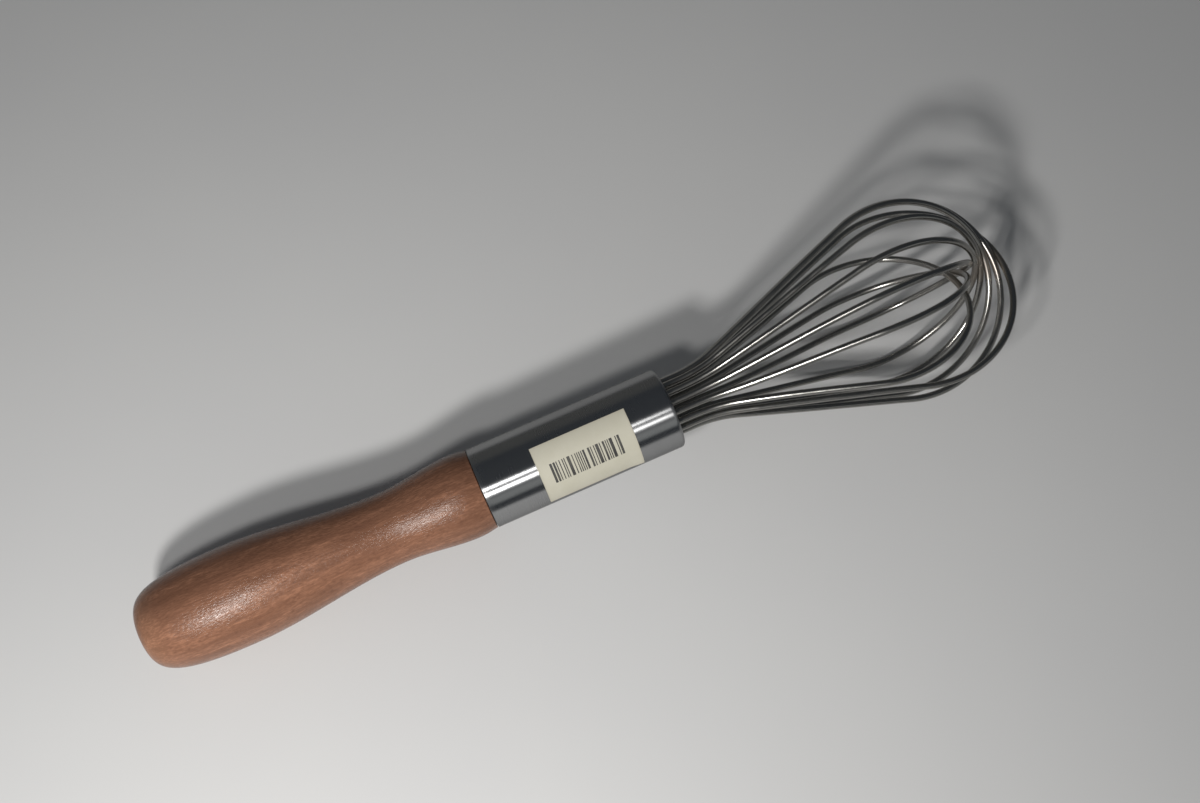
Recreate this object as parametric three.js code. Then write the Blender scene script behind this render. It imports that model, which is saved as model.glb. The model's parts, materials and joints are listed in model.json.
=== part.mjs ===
// Balloon whisk: eight wire loops, nested one inside the next, held in a steel ferrule on a turned
// beech handle. Millimetres, +Z up. The whisk lies at rest: the handle's swell and the two lowest
// wires touch z = 0, +X runs from the butt to the balloon, and the origin is under its middle.
//
// Each piece is drawn on the whisk's own axis first. There x = 0 is the joint between the handle
// and the ferrule, the handle runs to -x and the balloon to +x.
import * as THREE from 'three';

// Ferrule: a straight tube whose mouth is turned in over a small corner to a flat lip that holds
// the wires.
const FERRULE_DIAMETER = 25;
const FERRULE_LENGTH = 60.7;
const FERRULE_WALL = 0.8;
const LIP_RADIUS = 1.2;
const LIP_WIDTH = 3;

// Handle: diameters at the joint, the shoulder bead, the neck and the swell, with the distance of
// each from the joint, and the rounded butt with its small flat.
const HANDLE_LENGTH = 108;
const JOINT_DIAMETER = 24.8;
const SHOULDER_DIAMETER = 26.1;
const SHOULDER_SETBACK = 6;
const NECK_DIAMETER = 21.9;
const NECK_SETBACK = 29;
const SWELL_DIAMETER = 30.2;
const SWELL_SETBACK = 77;
const BUTT_FLAT_DIAMETER = 10;
const BUTT_SQUARENESS = 2.75;
const TENON_CHAMFER = 1.5;

// Core: the plug behind the lip, drilled for the legs of the wires.
const CORE_LENGTH = 18;

// Wires: the legs leave the mouth straight, bend outwards into straight flanks, and close in a
// round tip. The balloon's sizes are those of the outermost wire's centre line.
const WIRE_DIAMETER = 2;
const NECK_REACH = 11.8;
const BEND_RADIUS = 40;
const BALLOON_LENGTH = 111.9;
const BALLOON_DIAMETER = 60.6;
const GIRTH_STEP = 0.5;

// How far each loop, innermost first, is set off its even place by hand: the degrees that it is
// turned by and the distance that it leans to +Y. The loops cross at the tip in this same order,
// each turned one step on from the loop inside it.
const LOOP_TURNS = [5.3, -1.3, 2.5, -0.5, 2.4, 3.9, 11.7, 5];
const LOOP_LEANS = [-0.4, 2.3, 2.9, 0.7, 1.5, 2.2, 1.1, 1.3];

// The lower halves of this loop and of the next one out carry the balloon on the table.
const FIRST_RESTING_LOOP = 2;

// Paper label on the ferrule, with the angle of its middle measured from +Y towards +Z.
const LABEL_LENGTH = 30;
const LABEL_WIDTH = 20;
const LABEL_THICKNESS = 0.15;
const LABEL_SETBACK = 17;
const LABEL_ANGLE = 129.5;

// Clearances: between pieces that seat on each other, between crossing wires at the tip, between
// the legs and the lip's edge, and under the label.
const SEAT_GAP = 0.3;
const STACK_GAP = 0.2;
const LEG_CLEARANCE = 0.4;
const LABEL_GAP = 0.1;

// Facets
const TURNED_SIDES = 32;
const TUBE_SIDES = 48;
const WIRE_STEPS = 56;
const WIRE_CORNERS = 8;
const HOLE_CORNERS = 12;

// Sizes that follow from the ones above
const ferruleRadius = FERRULE_DIAMETER / 2;
const boreRadius = ferruleRadius - FERRULE_WALL;
const mouthRadius = ferruleRadius - LIP_WIDTH;
const wireRadius = WIRE_DIAMETER / 2;
const legRadius = mouthRadius - LEG_CLEARANCE - wireRadius;
const coreFront = FERRULE_LENGTH - LIP_RADIUS;
const coreBack = coreFront - CORE_LENGTH;
const tenonRadius = boreRadius - SEAT_GAP;
const tenonEnd = coreBack - SEAT_GAP;
const loopCount = LOOP_TURNS.length;
const loopPitch = Math.PI / loopCount;
const stackPitch = WIRE_DIAMETER + STACK_GAP;

const beech = { color: 0x9a6a50, roughness: 0.45, metalness: 0 };
const brushedSteel = { color: 0x8f9296, roughness: 0.3, metalness: 1 };
const brightWire = { color: 0x86857f, roughness: 0.15, metalness: 1 };
const darkFiller = { color: 0x2b2b2c, roughness: 0.8, metalness: 0 };
const creamPaper = { color: 0xdad7c3, roughness: 0.75, metalness: 0 };

// A named mesh with a material of its own.
function piece(name, geometry, finish) {
  const mesh = new THREE.Mesh(geometry, new THREE.MeshStandardMaterial(finish));
  mesh.name = name;
  return mesh;
}

// Eases from 0 to 1 with no slope at either end.
function ease(t) {
  return THREE.MathUtils.smoothstep(t, 0, 1);
}

// Turns a profile of (radius, x) points about the whisk's axis. On the outside, x increases.
function turned(profile, sides) {
  return new THREE.LatheGeometry(profile, sides).rotateZ(-Math.PI / 2);
}

// Extrudes a section drawn in the YZ plane along the whisk's axis, from x = start.
function extrudedAlongAxis(section, start, length, curveSegments) {
  const geometry = new THREE.ExtrudeGeometry(section, { depth: length, bevelEnabled: false, curveSegments });
  const sectionToAxis = new THREE.Matrix4().makeBasis(
    new THREE.Vector3(0, 1, 0),
    new THREE.Vector3(0, 0, 1),
    new THREE.Vector3(1, 0, 0),
  );
  return geometry.applyMatrix4(sectionToAxis).translate(start, 0, 0);
}

// The handle's outline from the butt to the joint, as (radius, x) points.
function gripOutline() {
  const swell = SWELL_DIAMETER / 2;
  const flat = BUTT_FLAT_DIAMETER / 2;
  const points = [new THREE.Vector2(0, -HANDLE_LENGTH)];

  // The butt is a superellipse that the flat cuts off a little before its end.
  const power = 2 / BUTT_SQUARENESS;
  const cutAngle = Math.asin(Math.pow(flat / swell, 1 / power));
  const buttReach = (HANDLE_LENGTH - SWELL_SETBACK) / Math.pow(Math.cos(cutAngle), power);
  const buttSteps = 9;
  for (let i = 0; i <= buttSteps; i += 1) {
    const angle = THREE.MathUtils.lerp(cutAngle, Math.PI / 2, i / buttSteps);
    const radius = swell * Math.pow(Math.sin(angle), power);
    const reach = i < buttSteps ? buttReach * Math.pow(Math.cos(angle), power) : 0;
    points.push(new THREE.Vector2(radius, -SWELL_SETBACK - reach));
  }

  // Easy curves run from the swell in to the neck and out to the shoulder bead.
  const stations = [
    { radius: swell, setback: SWELL_SETBACK, steps: 9 },
    { radius: NECK_DIAMETER / 2, setback: NECK_SETBACK, steps: 6 },
    { radius: SHOULDER_DIAMETER / 2, setback: SHOULDER_SETBACK, steps: 0 },
  ];
  for (let k = 0; k + 1 < stations.length; k += 1) {
    const [from, to] = [stations[k], stations[k + 1]];
    for (let i = 1; i <= from.steps; i += 1) {
      const t = i / from.steps;
      const radius = THREE.MathUtils.lerp(from.radius, to.radius, ease(t));
      points.push(new THREE.Vector2(radius, -THREE.MathUtils.lerp(from.setback, to.setback, t)));
    }
  }

  // The bead rounds off to the joint.
  const edgeSteps = 3;
  for (let i = 1; i <= edgeSteps; i += 1) {
    const t = i / edgeSteps;
    const rounding = 1 - Math.cos((t * Math.PI) / 2);
    const radius = THREE.MathUtils.lerp(SHOULDER_DIAMETER / 2, JOINT_DIAMETER / 2, rounding);
    points.push(new THREE.Vector2(radius, -THREE.MathUtils.lerp(SHOULDER_SETBACK, SEAT_GAP, t)));
  }
  return points;
}

function makeHandle() {
  const tenon = [
    new THREE.Vector2(tenonRadius, -SEAT_GAP),
    new THREE.Vector2(tenonRadius, tenonEnd - TENON_CHAMFER),
    new THREE.Vector2(tenonRadius - TENON_CHAMFER, tenonEnd),
    new THREE.Vector2(0, tenonEnd),
  ];
  return piece('handle', turned([...gripOutline(), ...tenon], TURNED_SIDES), beech);
}

// The tube's wall: out along the outside, in over the corner and the lip, and back along the bore.
function makeFerrule() {
  const cornerSteps = 5;
  const corner = (radius, i) => {
    const angle = ((i / cornerSteps) * Math.PI) / 2;
    return new THREE.Vector2(
      ferruleRadius - LIP_RADIUS + radius * Math.cos(angle),
      FERRULE_LENGTH - LIP_RADIUS + radius * Math.sin(angle),
    );
  };
  const outside = [new THREE.Vector2(ferruleRadius, 0)];
  const inside = [new THREE.Vector2(boreRadius, 0)];
  for (let i = 0; i <= cornerSteps; i += 1) {
    outside.push(corner(LIP_RADIUS, i));
    inside.push(corner(LIP_RADIUS - FERRULE_WALL, i));
  }
  outside.push(new THREE.Vector2(mouthRadius, FERRULE_LENGTH));
  inside.push(new THREE.Vector2(mouthRadius, FERRULE_LENGTH - FERRULE_WALL));
  const profile = [...outside, ...inside.reverse(), outside[0].clone()];
  return piece('ferrule', turned(profile, TUBE_SIDES), brushedSteel);
}

// The direction in which a loop's upper half leaves the axis, as an angle from +Y towards +Z.
function loopAngle(index) {
  const resting = girthRadius(FIRST_RESTING_LOOP);
  const next = girthRadius(FIRST_RESTING_LOOP + 1);
  const lean = Math.atan2(resting - next * Math.cos(loopPitch), next * Math.sin(loopPitch));
  return Math.PI / 2 + lean + (FIRST_RESTING_LOOP - index) * loopPitch;
}

// How many loops lie outside this one.
function loopsOutside(index) {
  return loopCount - 1 - index;
}

function girthRadius(index) {
  return (BALLOON_DIAMETER - loopsOutside(index) * GIRTH_STEP) / 2;
}

// The centre line of one wire loop. It follows a half outline in (x, radius) from the end of one
// leg to the tip and back along the other leg. Past the neck the loop turns and leans to its
// hand-set place.
class LoopLine extends THREE.Curve {
  constructor(index) {
    super();
    const girth = girthRadius(index);
    this.angle = loopAngle(index);
    this.turn = THREE.MathUtils.degToRad(LOOP_TURNS[index]);
    this.lean = LOOP_LEANS[index];
    this.cornerX = FERRULE_LENGTH + NECK_REACH;
    this.centreX = FERRULE_LENGTH + BALLOON_LENGTH - loopsOutside(index) * stackPitch - girth;

    // The flank is the line from the bend's corner that just touches the round of the tip.
    const run = this.centreX - this.cornerX;
    const flank = Math.asin(girth / Math.hypot(run, legRadius)) - Math.atan2(legRadius, run);
    const bendStart = this.cornerX - BEND_RADIUS * Math.tan(flank / 2);
    this.half = new THREE.Path();
    this.half.moveTo(coreBack, legRadius);
    this.half.lineTo(bendStart, legRadius);
    this.half.absarc(bendStart, legRadius + BEND_RADIUS, BEND_RADIUS, -Math.PI / 2, flank - Math.PI / 2);
    this.half.absarc(this.centreX, 0, girth, Math.PI / 2 + flank, 0, true);
  }

  getPoint(t, target = new THREE.Vector3()) {
    const outline = this.half.getPoint(1 - Math.abs(1 - 2 * t));
    const radius = t < 0.5 ? outline.y : -outline.y;
    const settled = THREE.MathUtils.smoothstep(outline.x, this.cornerX, this.centreX);
    const angle = this.angle + this.turn * settled;
    return target.set(
      outline.x,
      radius * Math.cos(angle) + this.lean * settled,
      radius * Math.sin(angle),
    );
  }
}

function makeWireLoop(index) {
  const section = new THREE.Shape().absarc(0, 0, wireRadius, 0, 2 * Math.PI);
  const geometry = new THREE.ExtrudeGeometry(section, {
    steps: WIRE_STEPS,
    curveSegments: WIRE_CORNERS / 2,
    extrudePath: new LoopLine(index),
  });
  return piece(`wire_loop_${index + 1}`, geometry, brightWire);
}

// A round plug that fills the bore behind the lip, with a hole for each leg of each wire.
function makeWireCore() {
  const section = new THREE.Shape().absarc(0, 0, boreRadius - SEAT_GAP, 0, 2 * Math.PI);
  for (let index = 0; index < loopCount; index += 1) {
    for (const side of [1, -1]) {
      const y = side * legRadius * Math.cos(loopAngle(index));
      const z = side * legRadius * Math.sin(loopAngle(index));
      section.holes.push(new THREE.Path().absarc(y, z, wireRadius + SEAT_GAP, 0, 2 * Math.PI));
    }
  }
  const geometry = extrudedAlongAxis(section, coreBack, CORE_LENGTH, HOLE_CORNERS / 2);
  return piece('wire_core', geometry, darkFiller);
}

function makePaperLabel() {
  const inner = ferruleRadius + LABEL_GAP;
  const halfTurn = LABEL_WIDTH / ferruleRadius / 2;
  const middle = THREE.MathUtils.degToRad(LABEL_ANGLE);
  const section = new THREE.Shape();
  section.absarc(0, 0, inner + LABEL_THICKNESS, middle - halfTurn, middle + halfTurn);
  section.absarc(0, 0, inner, middle + halfTurn, middle - halfTurn, true);
  const geometry = extrudedAlongAxis(section, LABEL_SETBACK, LABEL_LENGTH, HOLE_CORNERS / 2);
  return piece('paper_label', geometry, creamPaper);
}

// The lowest height that any of the pieces reaches when the axis is tilted up towards +X.
function lowestPoint(pieces, tilt) {
  const point = new THREE.Vector3();
  let lowest = Infinity;
  for (const { geometry } of pieces) {
    const { position } = geometry.attributes;
    for (let i = 0; i < position.count; i += 1) {
      point.fromBufferAttribute(position, i);
      lowest = Math.min(lowest, point.x * Math.sin(tilt) + point.z * Math.cos(tilt));
    }
  }
  return lowest;
}

// The tilt at which the handle and the cage rest on the table together.
function restingTilt(handle, cage) {
  let low = -Math.PI / 6;
  let high = Math.PI / 6;
  const halvings = 40;
  for (let i = 0; i < halvings; i += 1) {
    const tilt = (low + high) / 2;
    if (lowestPoint(cage, tilt) < lowestPoint([handle], tilt)) {
      low = tilt;
    } else {
      high = tilt;
    }
  }
  return (low + high) / 2;
}

const handle = makeHandle();
const cage = LOOP_TURNS.map((_, index) => makeWireLoop(index));

const onAxis = new THREE.Group();
onAxis.add(handle, makeFerrule(), makeWireCore(), ...cage, makePaperLabel());
onAxis.rotation.y = -restingTilt(handle, cage);

const whisk = new THREE.Group();
whisk.add(onAxis);
const box = new THREE.Box3().setFromObject(whisk, true);
const middle = box.getCenter(new THREE.Vector3());
onAxis.position.set(-middle.x, -middle.y, -box.min.z);

export default whisk;
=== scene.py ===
"""Looks of a balloon whisk: a stained beech handle, a steel ferrule, nested wire loops and a paper label.

Each piece is drawn on the whisk's own axis, in metres. There x = 0 is the joint between the handle and the
ferrule, the handle runs to -x and the balloon to +x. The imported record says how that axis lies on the
table. The finishes lay out their patterns in millimetres.
"""

import json
import logging
import math
from abc import ABC, abstractmethod
from dataclasses import dataclass, field
from enum import Enum
from functools import cached_property
from typing import ClassVar, Sequence, Union

import bpy
from mathutils import Matrix, Vector


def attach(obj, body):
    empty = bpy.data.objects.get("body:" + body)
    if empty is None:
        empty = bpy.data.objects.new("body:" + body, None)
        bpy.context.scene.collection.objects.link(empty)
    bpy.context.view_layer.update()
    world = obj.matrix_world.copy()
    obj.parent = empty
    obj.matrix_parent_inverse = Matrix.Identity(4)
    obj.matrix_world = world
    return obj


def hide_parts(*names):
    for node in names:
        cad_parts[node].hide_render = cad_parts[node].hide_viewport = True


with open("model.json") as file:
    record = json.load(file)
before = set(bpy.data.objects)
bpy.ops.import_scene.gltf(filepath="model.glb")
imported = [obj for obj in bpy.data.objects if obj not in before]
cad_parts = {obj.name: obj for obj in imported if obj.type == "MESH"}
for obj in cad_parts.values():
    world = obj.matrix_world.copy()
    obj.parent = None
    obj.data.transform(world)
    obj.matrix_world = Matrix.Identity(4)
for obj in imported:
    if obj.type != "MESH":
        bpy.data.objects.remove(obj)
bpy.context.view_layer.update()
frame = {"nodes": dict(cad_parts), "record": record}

MM = 0.001
BODY = "root"
MAP_NAME = "surface"
WEAR_NAME = "wear"
NOISE_MIDDLE = 0.5

Colour = tuple[float, float, float]
Place = tuple[float, float, float]
Span = tuple[float, float]
Socket = bpy.types.NodeSocket
Feed = Union[float, Sequence[float], Socket]

log = logging.getLogger("whisk")


class Slot(Enum):
    """The record's material slots."""

    BEECH = "beech"
    FERRULE_STEEL = "ferrule_steel"
    WIRE_STEEL = "wire_steel"
    CORE_FILLER = "core_filler"
    LABEL_PAPER = "label_paper"


class Ends(Enum):
    """How a skin over rings ends."""

    CAPPED = "capped"
    LOOPED = "looped"


def ease(value: float, low: float, high: float) -> float:
    """Returns a share that eases from 0 at low to 1 at high, which may be the lesser of the two."""
    share = min(1.0, max(0.0, (value - low) / (high - low)))
    return share * share * (3.0 - 2.0 * share)


def between(first: float, second: float, share: float) -> float:
    """Returns the value that lies at this share of the way from first to second."""
    return first + (second - first) * share


def round_axis(x: float, radius: float, angle: float) -> Vector:
    """Returns the point at this distance from the whisk's axis and this angle from +y towards +z."""
    return Vector((x, radius * math.cos(angle), radius * math.sin(angle)))


@dataclass(frozen=True)
class WhiskAxis:
    """The whisk's axis as it lies on the table."""

    joint: Vector
    direction: Vector

    @classmethod
    def from_record(cls, record: dict, handle_length: float) -> "WhiskAxis":
        """Finds the axis from the butt's face, which is square to it.

        Args:
            record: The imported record.
            handle_length: The distance from the butt to the joint.

        Returns:
            The axis.
        """
        butt = next(mount for mount in record["mounts"] if mount["name"] == "butt_face")
        direction = -Vector(butt["axis"]).normalized()
        return cls(Vector(butt["pos_m"]) + direction * handle_length, direction)

    def tilt(self) -> float:
        """Returns how far the axis rises from the table, as an angle."""
        return math.atan2(self.direction.z, self.direction.x)

    def matrix(self) -> Matrix:
        """Works out how a piece is moved from the whisk's own axis to the table.

        Returns:
            The matrix.
        """
        side = Vector((0.0, 1.0, 0.0))
        up = self.direction.cross(side)
        turn = Matrix((self.direction, side, up)).transposed().to_4x4()
        return Matrix.Translation(self.joint) @ turn


class NodeSheet:
    """Short calls for the nodes that the finishes use, on one node tree."""

    def __init__(self, tree: bpy.types.NodeTree) -> None:
        """Starts on an existing node tree."""
        self.tree = tree

    def feed(self, socket: Socket, value: Feed) -> None:
        """Links an input to an output socket, or sets a plain value on it.

        Args:
            socket: The input.
            value: An output socket, a number, a vector or a colour.
        """
        if isinstance(value, bpy.types.NodeSocket):
            self.tree.links.new(value, socket)
        elif socket.type == "RGBA":
            socket.default_value = (*value, 1.0)
        else:
            socket.default_value = value

    def add(self, kind: str, *values: Feed, **settings: object) -> bpy.types.Node:
        """Adds a node.

        Args:
            kind: Blender's name of the node type.
            *values: What its first inputs get, in order.
            **settings: Properties of the node.

        Returns:
            The new node.
        """
        node = self.tree.nodes.new(kind)
        for name, setting in settings.items():
            setattr(node, name, setting)
        for socket, value in zip(node.inputs, values):
            self.feed(socket, value)
        return node

    def fill(self, node: bpy.types.Node, **inputs: Feed) -> bpy.types.Node:
        """Feeds a node's inputs by their names.

        Args:
            node: The node.
            **inputs: What its named inputs get.

        Returns:
            The same node.
        """
        for name, value in inputs.items():
            self.feed(node.inputs[name], value)
        return node

    def math(self, operation: str, first: Feed, second: Feed = 0.0) -> Socket:
        """Returns the result of a Math node."""
        return self.add("ShaderNodeMath", first, second, operation=operation).outputs[0]

    def vector(self, operation: str, first: Feed, second: Feed) -> Socket:
        """Returns the vector result of a Vector Math node."""
        return self.add("ShaderNodeVectorMath", first, second, operation=operation).outputs[0]

    def parts(self, vector: Socket) -> tuple[Socket, Socket, Socket]:
        """Returns a vector's x, y and z."""
        return tuple(self.add("ShaderNodeSeparateXYZ", vector).outputs)

    def joined(self, x: Feed, y: Feed, z: Feed) -> Socket:
        """Returns the vector of x, y and z."""
        return self.add("ShaderNodeCombineXYZ", x, y, z).outputs[0]

    def rotated(self, vector: Socket, axis: str, angle: float) -> Socket:
        """Returns a vector turned about an axis, by Blender's name of that axis."""
        node = self.add("ShaderNodeVectorRotate", rotation_type=axis)
        return self.fill(node, Vector=vector, Angle=angle).outputs[0]

    def raised(self, value: Feed, mask: Feed, share: float) -> Socket:
        """Returns a value with this share of a mask added to it."""
        return self.math("ADD", value, self.math("MULTIPLY", mask, share))

    def window(self, value: Feed, low: Feed, high: Feed, start: Feed = 0.0, end: Feed = 1.0) -> Socket:
        """Returns a result that eases from start to end as the value goes from low to high."""
        numbers = (value, low, high, start, end)
        return self.add("ShaderNodeMapRange", *numbers, interpolation_type="SMOOTHSTEP").outputs[0]

    def spread(self, mask: Feed, span: Span) -> Socket:
        """Returns a result that eases over the span as the mask goes from 0 to 1."""
        return self.window(mask, 0.0, 1.0, *span)

    def noise(self, vector: Socket, detail: float, scale: Feed = 1.0) -> Socket:
        """Returns a noise around NOISE_MIDDLE, with this many octaves and features to the unit."""
        node = self.add("ShaderNodeTexNoise")
        return self.fill(node, Vector=vector, Detail=detail, Scale=scale).outputs[0]

    def blend(self, share: Feed, first: Feed, second: Feed) -> Socket:
        """Mixes two colours.

        Args:
            share: How much of the second colour shows.
            first: The colour at 0.
            second: The colour at 1.

        Returns:
            The mixed colour.
        """
        node = self.add("ShaderNodeMix", share, data_type="RGBA")
        colours = [socket for socket in node.inputs if socket.type == "RGBA"]
        self.feed(colours[0], first)
        self.feed(colours[1], second)
        return next(socket for socket in node.outputs if socket.type == "RGBA")

    def tint(self, colour: Feed, shade: Feed, mask: Feed, share: float) -> Socket:
        """Returns a colour under a shade, which shows by this share where the mask is 1."""
        return self.blend(self.math("MULTIPLY", mask, share), colour, shade)

    def effect(self, tree: bpy.types.NodeTree, **inputs: Feed) -> Socket:
        """Returns the output of a shared effect whose named inputs get these values."""
        return self.fill(self.add("ShaderNodeGroup", node_tree=tree), **inputs).outputs[0]


class EffectDraft(NodeSheet):
    """A node group with one vector input, some number inputs and one number output."""

    def __init__(self, name: str, numbers: dict[str, float]) -> None:
        """Makes the group and its sockets.

        Args:
            name: The group's name, and its output's.
            numbers: The names and defaults of its number inputs.
        """
        tree = bpy.data.node_groups.new(name, "ShaderNodeTree")
        super().__init__(tree)
        tree.interface.new_socket("Vector", in_out="INPUT", socket_type="NodeSocketVector")
        for label, default in numbers.items():
            socket = tree.interface.new_socket(label, in_out="INPUT", socket_type="NodeSocketFloat")
            socket.default_value = default
        tree.interface.new_socket(name, in_out="OUTPUT", socket_type="NodeSocketFloat")
        self.given = self.add("NodeGroupInput").outputs

    def scale(self) -> Socket:
        """Returns how many features of the group's Size input go to the unit."""
        return self.math("DIVIDE", 1.0, self.given["Size"])

    def contrasted(self, noise: Socket) -> Socket:
        """Stretches a noise by the group's Contrast input.

        Args:
            noise: The noise.

        Returns:
            A mask from 0 to 1.
        """
        low = self.math("SUBTRACT", NOISE_MIDDLE, self.given["Contrast"])
        high = self.math("ADD", NOISE_MIDDLE, self.given["Contrast"])
        return self.window(noise, low, high)

    def close(self, result: Socket) -> bpy.types.NodeTree:
        """Sends the result out and returns the finished group."""
        self.add("NodeGroupOutput", result)
        return self.tree


class Effects:
    """Surface effects that several finishes share, each a node group that is built once."""

    @cached_property
    def streaks(self) -> bpy.types.NodeTree:
        """Draws fine streaks along the vector's x: stain, pores, hairlines, die lines and paper fibres.

        Returns:
            The node group.
        """
        draft = EffectDraft("Streaks", {"Length": 10.0, "Width": 0.2, "Contrast": 0.3})
        given = draft.given
        size = draft.joined(given["Length"], given["Width"], given["Width"])
        noise = draft.noise(draft.vector("DIVIDE", given["Vector"], size), detail=3.0)
        return draft.close(draft.contrasted(noise))

    @cached_property
    def mottle(self) -> bpy.types.NodeTree:
        """Draws broad soft patches: handling smudges and clouding.

        Returns:
            The node group.
        """
        draft = EffectDraft("Mottle", {"Size": 8.0, "Contrast": 0.25})
        noise = draft.noise(draft.given["Vector"], detail=4.0, scale=draft.scale())
        return draft.close(draft.contrasted(noise))

    @cached_property
    def specks(self) -> bpy.types.NodeTree:
        """Draws small separate marks, at most one to a cell: wood flecks and grit.

        Returns:
            The node group.
        """
        draft = EffectDraft("Specks", {"Spacing": 1.0, "Size": 0.3, "Share": 0.5})
        given = draft.given
        scale = draft.math("DIVIDE", 1.0, given["Spacing"])
        cells = draft.fill(draft.add("ShaderNodeTexVoronoi"), Vector=given["Vector"], Scale=scale)
        mark = draft.window(cells.outputs["Distance"], 0.0, given["Size"], start=1.0, end=0.0)
        draw = draft.parts(cells.outputs["Color"])[0]
        kept = draft.math("LESS_THAN", draw, given["Share"])
        return draft.close(draft.math("MULTIPLY", mark, kept))

    @cached_property
    def edge_wear(self) -> bpy.types.NodeTree:
        """Draws worn edges: the piece's own wear values, broken up by noise. On the wires these values
        mark where the loops cross, and carry a painted reflection there.

        Returns:
            The node group.
        """
        draft = EffectDraft("EdgeWear", {"Size": 1.0})
        wear = draft.add("ShaderNodeAttribute", attribute_name=WEAR_NAME).outputs["Fac"]
        broken = draft.noise(draft.given["Vector"], detail=3.0, scale=draft.scale())
        kept = draft.math("SUBTRACT", draft.math("ADD", wear, broken), NOISE_MIDDLE)
        return draft.close(draft.math("MULTIPLY", wear, draft.window(kept, low=0.0, high=0.7)))


class MaterialDraft(NodeSheet):
    """A material with one Principled shader, for a piece on the whisk's axis."""

    def __init__(self, name: str, plain: dict[str, Feed], effects: Effects, axis: WhiskAxis) -> None:
        """Makes the material.

        Args:
            name: The material's name.
            plain: Values that are the same all over the surface, by the shader's socket names.
            effects: The shared effects.
            axis: The axis that places on the whisk are measured on.
        """
        self.material = bpy.data.materials.new(name)
        self.material.use_nodes = True
        super().__init__(self.material.node_tree)
        self.effects = effects
        self.axis = axis
        self.tree.nodes.clear()
        self.shader = self.add("ShaderNodeBsdfPrincipled")
        self.add("ShaderNodeOutputMaterial", self.shader.outputs[0])
        for socket, value in plain.items():
            self.drive(socket, value)

    def drive(self, socket: str, value: Feed) -> None:
        """Sets or links one of the shader's inputs."""
        self.feed(self.shader.inputs[socket], value)

    def place(self) -> Socket:
        """Finds the place on the whisk's axis.

        Returns:
            The place in millimetres.
        """
        here = self.add("ShaderNodeTexCoord").outputs["Object"]
        moved = self.vector("SUBTRACT", here, self.axis.joint)
        levelled = self.rotated(moved, "Y_AXIS", self.axis.tilt())
        return self.vector("DIVIDE", levelled, (MM, MM, MM))

    def surface_place(self) -> Socket:
        """Returns millimetres along the piece and round it, from its surface map."""
        laid = self.add("ShaderNodeUVMap", uv_map=MAP_NAME).outputs[0]
        return self.vector("DIVIDE", laid, (MM, MM, MM))

    def bump(self, height: Socket, depth: float) -> None:
        """Raises the surface's finest relief, where a height of 1 stands this depth in metres above 0."""
        node = self.fill(self.add("ShaderNodeBump"), Height=height, Distance=depth)
        self.drive("Normal", node.outputs[0])


class Finish(ABC):
    """A surface finish that can be made into a material."""

    name: ClassVar[str]

    @property
    @abstractmethod
    def plain(self) -> dict[str, Feed]:
        """The values that are the same all over the surface, by the shader's socket names."""

    @abstractmethod
    def dress(self, draft: MaterialDraft) -> None:
        """Draws on the material what varies over the surface."""

    def make(self, effects: Effects, axis: WhiskAxis) -> bpy.types.Material:
        """Makes the material.

        Args:
            effects: The shared effects.
            axis: The axis that the finish follows.

        Returns:
            The material.
        """
        draft = MaterialDraft(self.name, self.plain, effects, axis)
        self.dress(draft)
        return draft.material


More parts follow.
